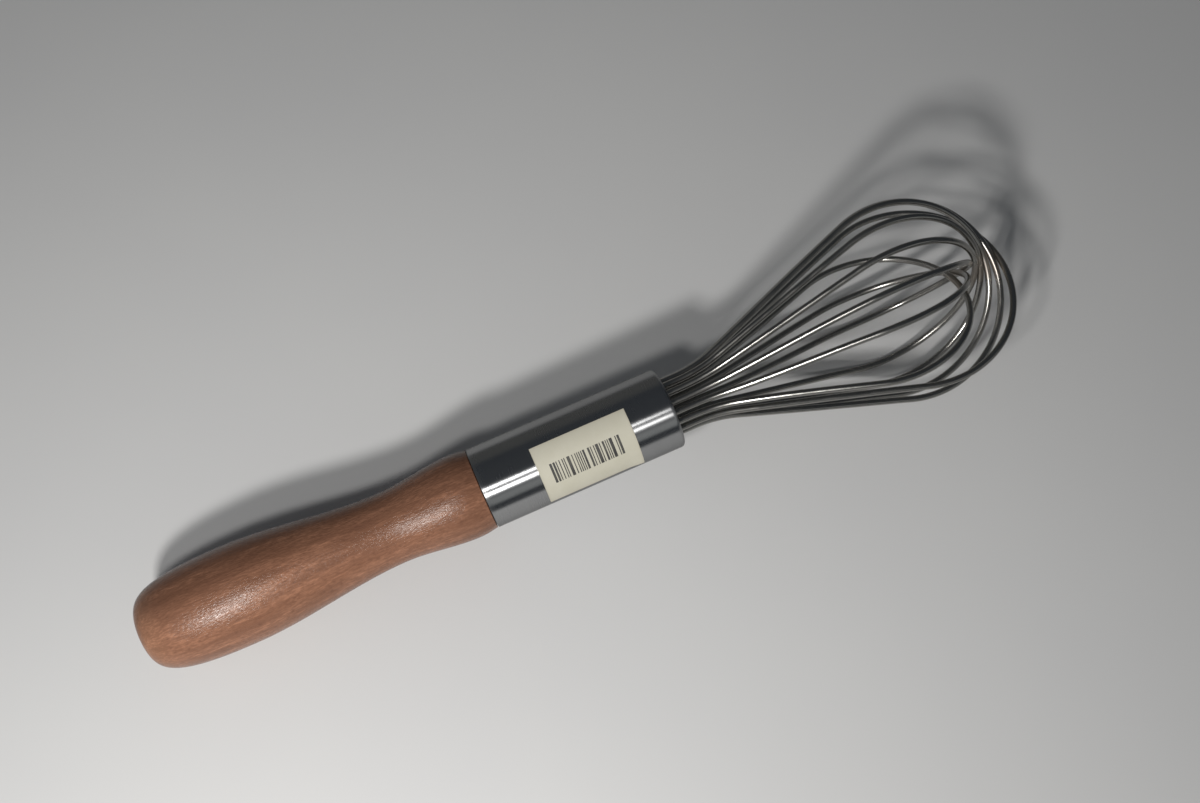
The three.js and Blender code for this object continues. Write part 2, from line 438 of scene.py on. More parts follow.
@dataclass(frozen=True)
class StainedBeech(Finish):
    """Turned beech, stained red-brown under a satin lacquer, with its short dark ray flecks."""

    name: ClassVar[str] = "stained_beech"
    pale: Colour = (0.400, 0.196, 0.119)
    deep: Colour = (0.168, 0.079, 0.048)
    fleck: Colour = (0.085, 0.038, 0.025)
    bare: Colour = (0.290, 0.155, 0.085)
    gloss: float = 0.17
    roughness: Span = (0.19, 0.25)
    relief_depth: float = 0.03 * MM
    grain_relief: float = 0.4
    board_turn: float = math.radians(28.0)
    ray_cell: Place = (2.0, 0.40, 2.6)
    ring_centre: Place = (0.0, 9.0, -46.0)
    ring_width: float = 2.6
    ring_sway: float = 4.0
    sway_cell: Place = (60.0, 9.0, 9.0)
    late_wood: Span = (0.35, 0.88)
    ring_end: Span = (0.90, 1.0)
    # Painted shade: where the darkening of the left side and of the shoulder begins and ends, and how much
    # colour is left there.
    side_shade_span: Span = (-7.0, 6.0)
    side_shade_left: float = 0.70
    shoulder_shade_span: Span = (-30.0, -4.0)
    shoulder_shade_left: float = 0.88

    @property
    def plain(self) -> dict[str, Feed]:
        """The lacquer's gloss."""
        return {"Specular IOR Level": self.gloss}

    def dress(self, draft: MaterialDraft) -> None:
        """Draws the rings, the stain, the flecks and the pores, which all run along the handle, and paints
        shade on its left side and towards its shoulder.

        Args:
            draft: The wood's material.
        """
        effects = draft.effects
        place = draft.place()
        wood = draft.rotated(place, "X_AXIS", self.board_turn)
        stain = draft.effect(effects.streaks, Vector=wood, Length=45.0, Width=3.0, Contrast=0.35)
        grain = draft.effect(effects.streaks, Vector=wood, Length=3.4, Width=0.50, Contrast=0.13)
        pores = draft.effect(effects.streaks, Vector=wood, Length=1.2, Width=0.42, Contrast=0.15)
        ray_cells = draft.vector("DIVIDE", wood, self.ray_cell)
        flecks = draft.effect(effects.specks, Vector=ray_cells, Spacing=1.0, Size=0.5, Share=0.6)
        worn = draft.effect(effects.edge_wear, Vector=place, Size=2.0)
        smudge = draft.effect(effects.mottle, Vector=place, Size=9.0, Contrast=0.25)

        colour = draft.blend(stain, self.deep, self.pale)
        colour = draft.tint(colour, self.deep, self.rings(draft, wood), share=0.25)
        colour = draft.tint(colour, self.deep, grain, share=0.65)
        colour = draft.tint(colour, self.deep, pores, share=0.40)
        colour = draft.tint(colour, self.fleck, flecks, share=0.30)
        colour = draft.tint(colour, self.bare, worn, share=0.20)
        # Painted shade: the colour is darkened on the handle's left side and towards its shoulder.
        left = self.painted_shade(draft, place)
        draft.drive("Base Color", draft.vector("MULTIPLY", colour, draft.joined(left, left, left)))
        draft.drive("Roughness", draft.spread(smudge, self.roughness))
        sunk = draft.raised(pores, grain, self.grain_relief)
        draft.bump(draft.math("SUBTRACT", 0.0, sunk), self.relief_depth)

    def painted_shade(self, draft: MaterialDraft, place: Socket) -> Socket:
        """Paints shade on the handle's left side and towards its shoulder, by darkening the wood's colour
        there.

        Args:
            draft: The wood's material.
            place: Millimetres on the whisk's axis.

        Returns:
            The share of the colour that is left under the painted shade.
        """
        x, y, _ = draft.parts(place)
        side = draft.window(y, *self.side_shade_span, start=1.0, end=self.side_shade_left)
        shoulder = draft.window(x, *self.shoulder_shade_span, start=1.0, end=self.shoulder_shade_left)
        return draft.math("MULTIPLY", side, shoulder)

    def rings(self, draft: MaterialDraft, wood: Socket) -> Socket:
        """Draws the growth rings about a centre line outside the handle.

        Args:
            draft: The wood's material.
            wood: Millimetres in the board that the handle was turned from.

        Returns:
            0 in early wood to 1 in late wood.
        """
        _, y, z = draft.parts(draft.vector("SUBTRACT", wood, self.ring_centre))
        square = draft.math("ADD", draft.math("POWER", y, 2.0), draft.math("POWER", z, 2.0))
        sway = draft.noise(draft.vector("DIVIDE", wood, self.sway_cell), detail=1.0)
        swayed = draft.raised(draft.math("SQRT", square), sway, self.ring_sway)
        phase = draft.math("FRACT", draft.math("DIVIDE", swayed, self.ring_width))
        rise = draft.window(phase, *self.late_wood)
        fall = draft.window(phase, *self.ring_end, start=1.0, end=0.0)
        return draft.math("MULTIPLY", rise, fall)


@dataclass(frozen=True)
class BrushedTube(Finish):
    """Stainless tube with a fine polish, which draws highlights out along the tube."""

    name: ClassVar[str] = "brushed_tube"
    steel: Colour = (0.38, 0.385, 0.39)
    dull: Colour = (0.33, 0.333, 0.335)
    rim: Colour = (0.55, 0.55, 0.55)
    roughness: Span = (0.23, 0.26)
    smudge_roughness: float = 0.02
    worn_roughness: float = 0.1
    relief_depth: float = 0.0006 * MM

    @property
    def plain(self) -> dict[str, Feed]:
        """Bare metal, rough along the tube and smooth round it."""
        brushing = {"Anisotropic": 1.0, "Anisotropic Rotation": 0.25}
        return {"Metallic": 1.0, "Specular Tint": self.rim, **brushing}

    def dress(self, draft: MaterialDraft) -> None:
        """Draws the polish, the smudges and the worn edges.

        Args:
            draft: The steel's material.
        """
        effects = draft.effects
        tangent = draft.add("ShaderNodeTangent", direction_type="RADIAL", axis="X")
        draft.drive("Tangent", tangent.outputs[0])
        along, around, _ = draft.parts(draft.surface_place())
        crossways = draft.joined(around, along, 0.0)
        hairlines = draft.effect(effects.streaks, Vector=crossways, Length=14.0, Width=0.16, Contrast=0.3)
        smudge = draft.effect(effects.mottle, Vector=draft.place(), Size=11.0, Contrast=0.2)
        worn = draft.effect(effects.edge_wear, Vector=draft.place(), Size=1.0)
        colour = draft.tint(self.steel, self.dull, hairlines, share=0.5)
        draft.drive("Base Color", draft.tint(colour, self.dull, smudge, share=0.35))
        rough = draft.raised(draft.spread(hairlines, self.roughness), smudge, self.smudge_roughness)
        draft.drive("Roughness", draft.raised(rough, worn, self.worn_roughness))
        draft.bump(hairlines, self.relief_depth)


@dataclass(frozen=True)
class DrawnWire(Finish):
    """Bright drawn spring wire, with die lines along it and a painted brown reflection where the loops
    cross.
    """

    name: ClassVar[str] = "drawn_wire"
    steel: Colour = (0.36, 0.35, 0.33)
    dull: Colour = (0.24, 0.235, 0.22)
    painted_reflection: Colour = (0.25, 0.185, 0.13)
    roughness: Span = (0.19, 0.27)
    crossing_roughness: float = 0.15
    relief_depth: float = 0.002 * MM

    @property
    def plain(self) -> dict[str, Feed]:
        """Bare metal."""
        return {"Metallic": 1.0}

    def dress(self, draft: MaterialDraft) -> None:
        """Draws the die lines, the smudges and the painted reflection where the loops cross.

        Args:
            draft: The wire's material.
        """
        effects = draft.effects
        laid = draft.surface_place()
        lines = draft.effect(effects.streaks, Vector=laid, Length=18.0, Width=0.25, Contrast=0.3)
        smudge = draft.effect(effects.mottle, Vector=draft.place(), Size=6.0, Contrast=0.2)
        worn = draft.effect(effects.edge_wear, Vector=draft.place(), Size=1.5)
        colour = draft.tint(self.steel, self.dull, lines, share=0.6)
        colour = draft.tint(colour, self.dull, smudge, share=0.4)
        # Painted reflection: a brown tint where the loops cross, laid on the wear values that mark the
        # crossing.
        draft.drive("Base Color", draft.tint(colour, self.painted_reflection, worn, share=0.35))
        rough = draft.spread(smudge, self.roughness)
        draft.drive("Roughness", draft.raised(rough, worn, self.crossing_roughness))
        draft.bump(lines, self.relief_depth)


@dataclass(frozen=True)
class CastFiller(Finish):
    """Dark cast filler, slightly gritty."""

    name: ClassVar[str] = "cast_filler"
    dark: Colour = (0.022, 0.022, 0.021)
    light: Colour = (0.055, 0.054, 0.050)
    gloss: float = 0.3
    roughness: Span = (0.7, 0.9)
    relief_depth: float = 0.05 * MM

    @property
    def plain(self) -> dict[str, Feed]:
        """The filler's dull surface."""
        return {"Specular IOR Level": self.gloss}

    def dress(self, draft: MaterialDraft) -> None:
        """Draws the clouding and the grit.

        Args:
            draft: The filler's material.
        """
        effects = draft.effects
        place = draft.place()
        cloud = draft.effect(effects.mottle, Vector=place, Size=2.5, Contrast=0.2)
        grit = draft.effect(effects.specks, Vector=place, Spacing=0.5, Size=0.5, Share=0.4)
        draft.drive("Base Color", draft.blend(cloud, self.dark, self.light))
        draft.drive("Roughness", draft.spread(cloud, self.roughness))
        draft.bump(grit, self.relief_depth)


@dataclass(frozen=True)
class PrintedPaper(Finish):
    """Cream sticker paper with a row of plain bars that spell nothing."""

    name: ClassVar[str] = "printed_paper"
    paper: Colour = (0.51, 0.49, 0.405)
    aged: Colour = (0.445, 0.425, 0.335)
    soiled: Colour = (0.42, 0.39, 0.31)
    ink: Colour = (0.020, 0.020, 0.022)
    gloss: float = 0.4
    roughness: Span = (0.50, 0.62)
    relief_depth: float = 0.006 * MM
    bars_along: Span = (3.6, 25.5)
    bars_across: Span = (6.4, 12.6)
    bar_step: float = 0.31
    bar_seed: float = 3622.0
    inked_share: float = 0.52
    ink_cover: Span = (0.97, 0.86)

    @property
    def plain(self) -> dict[str, Feed]:
        """The paper's slight gloss."""
        return {"Specular IOR Level": self.gloss}

    def dress(self, draft: MaterialDraft) -> None:
        """Draws the paper and its print.

        Args:
            draft: The paper's material.
        """
        effects = draft.effects
        laid = draft.surface_place()
        cloud = draft.effect(effects.mottle, Vector=laid, Size=5.0, Contrast=0.25)
        fibre = draft.effect(effects.streaks, Vector=laid, Length=0.9, Width=0.16, Contrast=0.25)
        worn = draft.effect(effects.edge_wear, Vector=laid, Size=1.2)
        colour = draft.tint(self.paper, self.aged, cloud, share=0.45)
        colour = draft.tint(colour, self.aged, fibre, share=0.15)
        colour = draft.tint(colour, self.soiled, worn, share=0.6)
        inked = draft.math("MULTIPLY", self.bars(draft, laid), draft.spread(cloud, self.ink_cover))
        draft.drive("Base Color", draft.blend(inked, colour, self.ink))
        draft.drive("Roughness", draft.spread(cloud, self.roughness))
        draft.bump(fibre, self.relief_depth)

    def bars(self, draft: MaterialDraft, laid: Socket) -> Socket:
        """Draws the bars.

        Args:
            draft: The paper's material.
            laid: Millimetres along the label and across it.

        Returns:
            1 on a bar and 0 beside it.
        """
        along, across, _ = draft.parts(laid)
        step = draft.math("FLOOR", draft.math("DIVIDE", along, self.bar_step))
        draw = draft.add("ShaderNodeTexWhiteNoise", noise_dimensions="1D")
        draft.fill(draw, W=draft.math("ADD", step, self.bar_seed))
        bar = draft.math("LESS_THAN", draw.outputs["Value"], self.inked_share)
        for value, (low, high) in ((along, self.bars_along), (across, self.bars_across)):
            bar = draft.math("MULTIPLY", bar, draft.math("GREATER_THAN", value, low))
            bar = draft.math("MULTIPLY", bar, draft.math("LESS_THAN", value, high))
        return bar


@dataclass(frozen=True)
class PaleTable(Finish):
    """A plain pale table top."""

    name: ClassVar[str] = "pale_table"
    top: Colour = (0.61, 0.61, 0.605)
    cloudy: Colour = (0.59, 0.59, 0.59)
    gloss: float = 0.2
    roughness: Span = (0.42, 0.5)

    @property
    def plain(self) -> dict[str, Feed]:
        """The table's slight gloss."""
        return {"Specular IOR Level": self.gloss}

    def dress(self, draft: MaterialDraft) -> None:
        """Draws the table's faint clouding.

        Args:
            draft: The table's material.
        """
        cloud = draft.effect(draft.effects.mottle, Vector=draft.place(), Size=90.0, Contrast=0.3)
        draft.drive("Base Color", draft.blend(cloud, self.top, self.cloudy))
        draft.drive("Roughness", draft.spread(cloud, self.roughness))


@dataclass(frozen=True)
class Ring:
    """One ring of a skin: its points, its place along the piece and how worn it is, from 0 to 1."""

    points: list[Vector]
    along: float
    wear: float = 0.0


@dataclass(frozen=True)
class Station:
    """A point of a turned outline, and how worn it is, from 0 to 1."""

    radius: float
    x: float
    wear: float = 0.0


@dataclass
class MeshDraft:
    """A mesh that is put together from faces, with a surface map and wear values."""

    points: list[Vector] = field(default_factory=list)
    wear: list[float] = field(default_factory=list)
    faces: list[list[int]] = field(default_factory=list)
    laid: list[tuple[float, float]] = field(default_factory=list)

    def add_point(self, point: Vector, wear: float) -> int:
        """Adds a point.

        Args:
            point: Its place.
            wear: How worn the surface is there, from 0 to 1.

        Returns:
            Its number.
        """
        self.points.append(point)
        self.wear.append(wear)
        return len(self.points) - 1

    def add_face(self, corners: Sequence[int], laid: Sequence[tuple[float, float]]) -> None:
        """Adds a face, with the place of each corner on the surface map."""
        self.faces.append(list(corners))
        self.laid.extend(laid)

    def skin(self, rings: Sequence[Ring], girth: float, ends: Ends) -> None:
        """Covers rings of equal counts, whose points turn left about the way they follow each other.

        Args:
            rings: The rings in order.
            girth: The distance round the piece on its surface map.
            ends: Whether the skin is capped or runs on from the last ring to the first.
        """
        count = len(rings[0].points)
        numbers = [[self.add_point(point, ring.wear) for point in ring.points] for ring in rings]
        alongs = [ring.along for ring in rings]
        if ends is Ends.LOOPED:
            numbers.append(numbers[0])
            alongs.append(alongs[-1] + (rings[0].points[0] - rings[-1].points[0]).length)
        for i in range(len(numbers) - 1):
            for j in range(count):
                k = (j + 1) % count
                low, high = girth * j / count, girth * (j + 1) / count
                self.add_face(
                    (numbers[i][j], numbers[i][k], numbers[i + 1][k], numbers[i + 1][j]),
                    ((alongs[i], low), (alongs[i], high), (alongs[i + 1], high), (alongs[i + 1], low)),
                )
        if ends is Ends.CAPPED:
            self.cap(numbers[0], rings[0], girth, facing_back=True)
            self.cap(numbers[-1], rings[-1], girth, facing_back=False)

    def cap(self, numbers: list[int], ring: Ring, girth: float, facing_back: bool) -> None:
        """Closes an end with triangles to its middle.

        Args:
            numbers: The end ring's points.
            ring: The end ring.
            girth: The distance round the piece on its surface map.
            facing_back: Whether the end faces back along the piece.
        """
        count = len(numbers)
        middle = self.add_point(sum(ring.points, Vector()) / count, ring.wear)
        reach = (ring.points[0] - self.points[middle]).length
        beyond = ring.along - reach if facing_back else ring.along + reach
        for j in range(count):
            corners = []
            for step in (j, j + 1):
                corners.append((numbers[step % count], (ring.along, girth * step / count)))
            if facing_back:
                corners.reverse()
            corners.append((middle, (beyond, girth * (j + 0.5) / count)))
            self.add_face([corner[0] for corner in corners], [corner[1] for corner in corners])

    def finish(self, name: str, sharp_angle: float = math.radians(40.0)) -> bpy.types.Object:
        """Makes a smooth-shaded object.

        Args:
            name: The object's name.
            sharp_angle: Edges that turn more than this stay crisp.

        Returns:
            The object, linked to the scene.
        """
        mesh = bpy.data.meshes.new(name)
        mesh.from_pydata(self.points, [], self.faces)
        mesh.shade_smooth()
        mesh.set_sharp_from_angle(angle=sharp_angle)
        layer = mesh.uv_layers.new(name=MAP_NAME)
        layer.data.foreach_set("uv", [value for pair in self.laid for value in pair])
        wear = mesh.attributes.new(WEAR_NAME, "FLOAT", "POINT")
        wear.data.foreach_set("value", self.wear)
        made = bpy.data.objects.new(name, mesh)
        bpy.context.scene.collection.objects.link(made)
        return made


def turned(stations: Sequence[Station], sides: int, girth: float, ends: Ends) -> MeshDraft:
    """Turns an outline about the whisk's axis. On the outside, x increases.

    Args:
        stations: The outline's points.
        sides: Points to the ring.
        girth: The distance round the piece on its surface map.
        ends: How the skin ends.

    Returns:
        The turned mesh.
    """
    rings = []
    along = 0.0
    last = stations[0]
    for station in stations:
        along += math.hypot(station.radius - last.radius, station.x - last.x)
        last = station
        points = [round_axis(station.x, station.radius, 2.0 * math.pi * j / sides) for j in range(sides)]
        rings.append(Ring(points, along, station.wear))
    draft = MeshDraft()
    draft.skin(rings, girth, ends)
    return draft


@dataclass(frozen=True)
class Piece:
    """A piece's name, the CAD node that it stands for and its mesh, drawn on the whisk's axis."""

    name: str
    node: str
    draft: MeshDraft


@dataclass
class Fitting:
    """What every sub-assembly needs to put its pieces on the whisk."""

    axis: WhiskAxis
    effects: Effects

    def material(self, finish: Finish) -> bpy.types.Material:
        """Returns a new material with this finish."""
        return finish.make(self.effects, self.axis)

    def seat(self, piece: Piece, material: bpy.types.Material) -> None:
        """Dresses a piece and puts it in the place of its CAD node.

        Args:
            piece: The piece.
            material: Its finish.
        """
        made = piece.draft.finish(piece.name)
        made.data.transform(self.axis.matrix())
        made.data.materials.append(material)
        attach(made, BODY)
        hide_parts(piece.node)
        faces = len(made.data.polygons)
        log.info("%s stands for %s: %d faces, %s", made.name, piece.node, faces, material.name)


class SubAssembly(ABC):
    """Pieces that are built together and share a finish."""

    slot: ClassVar[Slot]

    @abstractmethod
    def pieces(self) -> list[Piece]:
        """Returns the pieces, with their meshes built."""

    def build(self, fitting: Fitting, finish: Finish) -> None:
        """Builds the pieces and dresses them.

        Args:
            fitting: Where the pieces go.
            finish: Their finish.
        """
        material = fitting.material(finish)
        for piece in self.pieces():
            fitting.seat(piece, material)


@dataclass
class SteelFerrule(SubAssembly):
    """The straight tube whose mouth is turned in over a small corner to a flat lip round the wires."""

    slot: ClassVar[Slot] = Slot.FERRULE_STEEL
    diameter: float = 25.0 * MM
    length: float = 60.7 * MM
    wall: float = 0.8 * MM
    lip_corner: float = 1.2 * MM
    lip_width: float = 3.0 * MM
    cut_round: float = 0.12 * MM
    cut_wear: float = 0.8
    lip_wear: float = 0.6
    sides: int = 160
    corner_steps: int = 12
    lip_steps: int = 4
    body_steps: int = 24

    @property
    def radius(self) -> float:
        """The tube's outside radius."""
        return self.diameter / 2.0

    @property
    def bore(self) -> float:
        """The tube's inside radius."""
        return self.radius - self.wall

    @property
    def mouth(self) -> float:
        """The radius inside the lip."""
        return self.radius - self.lip_width

    @property
    def straight(self) -> float:
        """The length of the tube up to the corner of its mouth."""
        return self.length - self.lip_corner

    def stations(self) -> list[Station]:
        """Draws the wall: out along the outside, in over the corner and the lip, and back along the bore.

        Returns:
            The wall's closed outline.
        """
        outside = [
            Station(self.radius - self.cut_round, 0.0, self.cut_wear),
            Station(self.radius, self.cut_round, self.cut_wear),
        ]
        for i in range(1, self.body_steps):
            outside.append(Station(self.radius, self.straight * i / self.body_steps))
        inside = [Station(self.bore, 0.0)]
        hub = self.radius - self.lip_corner
        for i in range(self.corner_steps + 1):
            angle = 0.5 * math.pi * i / self.corner_steps
            wear = self.lip_wear * math.sin(angle)
            for reach, wall in ((self.lip_corner, outside), (self.lip_corner - self.wall, inside)):
                radius = hub + reach * math.cos(angle)
                wall.append(Station(radius, self.straight + reach * math.sin(angle), wear))
        for i in range(1, self.lip_steps + 1):
            radius = between(hub, self.mouth + self.cut_round, i / self.lip_steps)
            outside.append(Station(radius, self.length, self.lip_wear))
        outside.append(Station(self.mouth, self.length - self.cut_round, self.cut_wear))
        inside.append(Station(self.mouth, self.length - self.wall, self.cut_wear))
        return outside + inside[::-1]

    def pieces(self) -> list[Piece]:
        """Returns the tube, turned from its wall."""
        draft = turned(self.stations(), self.sides, math.pi * self.diameter, Ends.LOOPED)
        return [Piece("steel_ferrule", "ferrule", draft)]


@dataclass
class WireCore:
    """The filler that holds the legs behind the ferrule's lip. Its CAD shape stays."""

    length: float = 18.0 * MM

    def build(self, fitting: Fitting, finish: Finish) -> None:
        """Dresses the CAD node.

        Args:
            fitting: What the finish needs.
            finish: The filler.
        """
        node = frame["nodes"]["wire_core"]
        node.data.materials.clear()
        node.data.materials.append(fitting.material(finish))
        log.info("wire_core keeps its shape")


@dataclass
class TurnedHandle(SubAssembly):
    """The turned grip, with its tenon in the ferrule.

    The butt's corner is fuller than the CAD node's, and it ends a small inset before that node does.
    """

    slot: ClassVar[Slot] = Slot.BEECH
    ferrule: SteelFerrule
    core: WireCore
    length: float = 108.0 * MM
    joint_diameter: float = 24.8 * MM
    shoulder_diameter: float = 26.1 * MM
    shoulder_setback: float = 6.0 * MM
    shoulder_wear: float = 0.3
    shoulder_wear_reach: float = 3.0 * MM
    neck_diameter: float = 21.9 * MM
    neck_setback: float = 29.0 * MM
    swell_diameter: float = 30.2 * MM
    swell_setback: float = 77.0 * MM
    butt_flat: float = 10.0 * MM
    butt_inset: float = 1.5 * MM
    butt_taper: float = 2.6
    butt_corner: float = 5.0
    butt_wear: Span = (14.0 * MM, 3.0 * MM)
    seat_gap: float = 0.3 * MM
    tenon_chamfer: float = 1.5 * MM
    sides: int = 144
    butt_steps: int = 40
    sweep_steps: int = 44
    edge_steps: int = 12

    def butt(self) -> list[Station]:
        """Draws the butt: sides that taper a little, then turn in over a full corner to a small flat.

        Returns:
            The outline from the flat up to the swell, which it leaves out.
        """
        swell = self.swell_diameter / 2.0
        run = self.length - self.butt_inset - self.swell_setback
        flat = (self.butt_flat / self.swell_diameter) ** self.butt_corner
        cut = (1.0 - flat) ** (1.0 / self.butt_taper)
        stations = []
        for i in range(self.butt_steps):
            share = math.cos(0.5 * math.pi * i / self.butt_steps)
            x = -self.swell_setback - run * share
            radius = swell * (1.0 - (cut * share) ** self.butt_taper) ** (1.0 / self.butt_corner)
            stations.append(Station(radius, x, ease(self.length + x, *self.butt_wear)))
        return stations

    def sweep(self, start: Station, end: Station) -> list[Station]:
        """Draws an easy curve.

        Args:
            start: Where it starts.
            end: Where it ends.

        Returns:
            The curve from the start up to the end, which it leaves out.
        """
        stations = []
        for i in range(self.sweep_steps):
            share = i / self.sweep_steps
            radius = between(start.radius, end.radius, ease(share, 0.0, 1.0))
            stations.append(Station(radius, between(start.x, end.x, share)))
        return stations

    def shoulder_edge(self) -> list[Station]:
        """Rounds the shoulder off to the joint.

        Returns:
            The outline from the shoulder to the joint.
        """
        stations = []
        for i in range(self.edge_steps + 1):
            share = i / self.edge_steps
            rounding = 1.0 - math.cos(0.5 * math.pi * share)
            radius = between(self.shoulder_diameter, self.joint_diameter, rounding) / 2.0
            x = -between(self.shoulder_setback, self.seat_gap, share)
            wear = self.shoulder_wear * ease(x, -self.shoulder_wear_reach, -self.seat_gap)
            stations.append(Station(radius, x, wear))
        return stations

    def tenon(self) -> list[Station]:
        """Draws the tenon that fills the ferrule's bore up to the wire core.

        Returns:
            The outline from the joint to the tenon's end.
        """
        radius = self.ferrule.bore - self.seat_gap
        end = self.ferrule.straight - self.core.length - self.seat_gap
        return [
            Station(radius, -self.seat_gap),
            Station(radius, end - self.tenon_chamfer),
            Station(radius - self.tenon_chamfer, end),
        ]

    def stations(self) -> list[Station]:
        """Draws the whole outline.

        Returns:
            The outline from the butt to the tenon's end.
        """
        swell = Station(self.swell_diameter / 2.0, -self.swell_setback)
        neck = Station(self.neck_diameter / 2.0, -self.neck_setback)
        shoulder = Station(self.shoulder_diameter / 2.0, -self.shoulder_setback)
        grip = self.butt() + self.sweep(swell, neck) + self.sweep(neck, shoulder)
        return grip + self.shoulder_edge() + self.tenon()

    def pieces(self) -> list[Piece]:
        """Returns the handle, turned from its outline."""
        draft = turned(self.stations(), self.sides, math.pi * self.swell_diameter, Ends.CAPPED)
        return [Piece("turned_handle", "handle", draft)]


@dataclass
class WireBalloon(SubAssembly):
    """The wire loops: straight legs, a bend into straight flanks, and a round tip.

    The loops nest one wire apart, and an index counts them from the innermost. Each is set off its even
    place by a turn in degrees and a lean to +y in millimetres.
    """

    slot: ClassVar[Slot] = Slot.WIRE_STEEL
    ferrule: SteelFerrule
    core: WireCore
    wire_diameter: float = 2.0 * MM
    leg_clearance: float = 0.4 * MM
    stack_gap: float = 0.2 * MM
    neck_reach: float = 11.8 * MM
    bend_radius: float = 40.0 * MM
    length: float = 111.9 * MM
    diameter: float = 60.6 * MM
    girth_step: float = 0.5 * MM
    turns: tuple[float, ...] = (5.3, -1.3, 2.5, -0.5, 2.4, 3.9, 11.7, 5.0)
    leans: tuple[float, ...] = (-0.4, 2.3, 2.9, 0.7, 1.5, 2.2, 1.1, 1.3)
    first_resting: int = 2
    # Painted reflection: the distances from the tip over which the brown tint where the loops cross fades
    # in.
    painted_reflection_reach: Span = (9.0 * MM, 1.8 * MM)
    sides: int = 20
    half_steps: int = 110

    @property
    def leg_radius(self) -> float:
        """The radius of the ring in which the legs stand."""
        return self.ferrule.mouth - self.leg_clearance - self.wire_diameter / 2.0

    @property
    def corner_x(self) -> float:
        """Where the legs' bend has its corner."""
        return self.ferrule.length + self.neck_reach

    def outside(self, index: int) -> int:
        """Returns how many loops lie outside this one."""
        return len(self.turns) - 1 - index

    def girth_radius(self, index: int) -> float:
        """Returns the radius of a loop's tip."""
        return (self.diameter - self.outside(index) * self.girth_step) / 2.0

    def centre_x(self, index: int) -> float:
        """Returns the centre of a loop's round tip."""
        stack = self.outside(index) * (self.wire_diameter + self.stack_gap)
        return self.ferrule.length + self.length - stack - self.girth_radius(index)

    def angle(self, index: int) -> float:
        """Finds a loop's even place, where two loops' lower halves carry the balloon on the table.

        Args:
            index: The loop.

        Returns:
            The direction in which its upper half leaves the axis, from +y towards +z.
        """
        pitch = math.pi / len(self.turns)
        resting = self.girth_radius(self.first_resting)
        following = self.girth_radius(self.first_resting + 1)
        lean = math.atan2(resting - following * math.cos(pitch), following * math.sin(pitch))
        return 0.5 * math.pi + lean + (self.first_resting - index) * pitch

    def half_outline(self, index: int) -> list[tuple[float, float]]:
        """Draws a loop's half outline at even steps from the end of its leg to its tip.

        Args:
            index: The loop.

        Returns:
            Places along the axis and distances from it.
        """
        leg, girth, bend = self.leg_radius, self.girth_radius(index), self.bend_radius
        start = self.ferrule.straight - self.core.length
        centre = self.centre_x(index)
        run = centre - self.corner_x
        flank = math.asin(girth / math.hypot(run, leg)) - math.atan2(leg, run)
        bend_start = self.corner_x - bend * math.tan(flank / 2.0)
        bend_end = (bend_start + bend * math.sin(flank), leg + bend * (1.0 - math.cos(flank)))
        round_start = (centre - girth * math.sin(flank), girth * math.cos(flank))
        lengths = [
            bend_start - start,
            bend * flank,
            math.dist(bend_end, round_start),
            girth * (0.5 * math.pi + flank),
        ]
        outline = []
        for i in range(self.half_steps + 1):
            walked = sum(lengths) * i / self.half_steps
            if walked <= lengths[0]:
                outline.append((start + walked, leg))
                continue
            walked -= lengths[0]
            if walked <= lengths[1]:
                turn = walked / bend
                outline.append((bend_start + bend * math.sin(turn), leg + bend * (1.0 - math.cos(turn))))
                continue
            walked -= lengths[1]
            if walked <= lengths[2]:
                share = walked / lengths[2]
                outline.append(tuple(between(a, b, share) for a, b in zip(bend_end, round_start)))
                continue
            left = 0.5 * math.pi + flank - (walked - lengths[2]) / girth
            outline.append((centre + girth * math.cos(left), girth * math.sin(left)))
        return outline

    def centre_line(self, index: int) -> list[Vector]:
        """Draws a loop's centre line, turned and leaned more and more towards its tip.

        Args:
            index: The loop.

        Returns:
            Its points from the end of one leg to the end of the other.
        """
        half = self.half_outline(index)
        outline = half + [(x, -radius) for x, radius in half[-2::-1]]
        line = []
        for x, radius in outline:
            settled = ease(x, self.corner_x, self.centre_x(index))
            point = round_axis(x, radius, self.angle(index) + math.radians(self.turns[index]) * settled)
            point.y += self.leans[index] * MM * settled
            line.append(point)
        return line

    def rings(self, index: int) -> list[Ring]:
        """Puts a ring of points round each step of a loop's centre line.

        Args:
            index: The loop.

        Returns:
            The rings in order.
        """
        line = self.centre_line(index)
        angle = self.angle(index)
        plane = Vector((0.0, -math.sin(angle), math.cos(angle)))
        tip = line[len(line) // 2]
        rings = []
        along = 0.0
        for i, centre in enumerate(line):
            before, after = line[max(0, i - 1)], line[min(len(line) - 1, i + 1)]
            along += (centre - before).length
            way = (after - before).normalized()
            first = (plane - way * plane.dot(way)).normalized()
            second = way.cross(first)
            points = []
            for j in range(self.sides):
                turn = 2.0 * math.pi * j / self.sides
                spoke = first * math.cos(turn) + second * math.sin(turn)
                points.append(centre + spoke * (self.wire_diameter / 2.0))
            # Each ring's wear value marks its nearness to the loops' crossing, for the painted reflection
            # there.
            rings.append(Ring(points, along, ease((centre - tip).length, *self.painted_reflection_reach)))
        return rings

    def pieces(self) -> list[Piece]:
        """Builds the loops.

        Returns:
            A piece for each loop, innermost first.
        """
        loops = []
        for index in range(len(self.turns)):
            draft = MeshDraft()
            draft.skin(self.rings(index), math.pi * self.wire_diameter, Ends.CAPPED)
            loops.append(Piece(f"balloon_wire_{index + 1}", f"wire_loop_{index + 1}", draft))
        return loops


